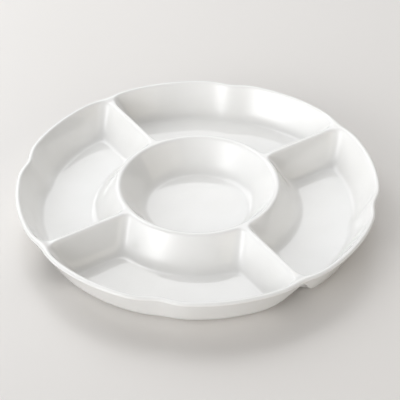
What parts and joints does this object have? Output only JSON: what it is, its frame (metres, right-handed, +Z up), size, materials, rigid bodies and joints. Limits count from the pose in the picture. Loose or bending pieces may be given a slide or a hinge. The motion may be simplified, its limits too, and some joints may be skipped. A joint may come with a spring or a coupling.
{
  "type": "chip and dip server",
  "caption": "Round scalloped porcelain serving dish with a dip bowl in the middle and compartments around it, divided by radial ridges.",
  "frame": {"origin": "centre of the base, on the table", "axes": "+Z up; +X, +Y, -X and -Y run through the middles of the right, back, left and front compartments, and the dividers lie on the diagonals"},
  "size_m": [0.3192, 0.3192, 0.034],
  "materials": {
    "glazed_porcelain": "clear gloss glaze over white porcelain",
    "bare_porcelain": "unglazed, ground smooth"
  },
  "bodies": {
    "root": {"dip_bowl": "glazed_porcelain", "right_compartment": "glazed_porcelain", "back_compartment": "glazed_porcelain", "left_compartment": "glazed_porcelain", "front_compartment": "glazed_porcelain", "front_right_divider": "glazed_porcelain", "back_right_divider": "glazed_porcelain", "back_left_divider": "glazed_porcelain", "front_left_divider": "glazed_porcelain", "right_foot": "bare_porcelain", "back_foot": "bare_porcelain", "left_foot": "bare_porcelain", "front_foot": "bare_porcelain"}
  },
  "joints": []
}
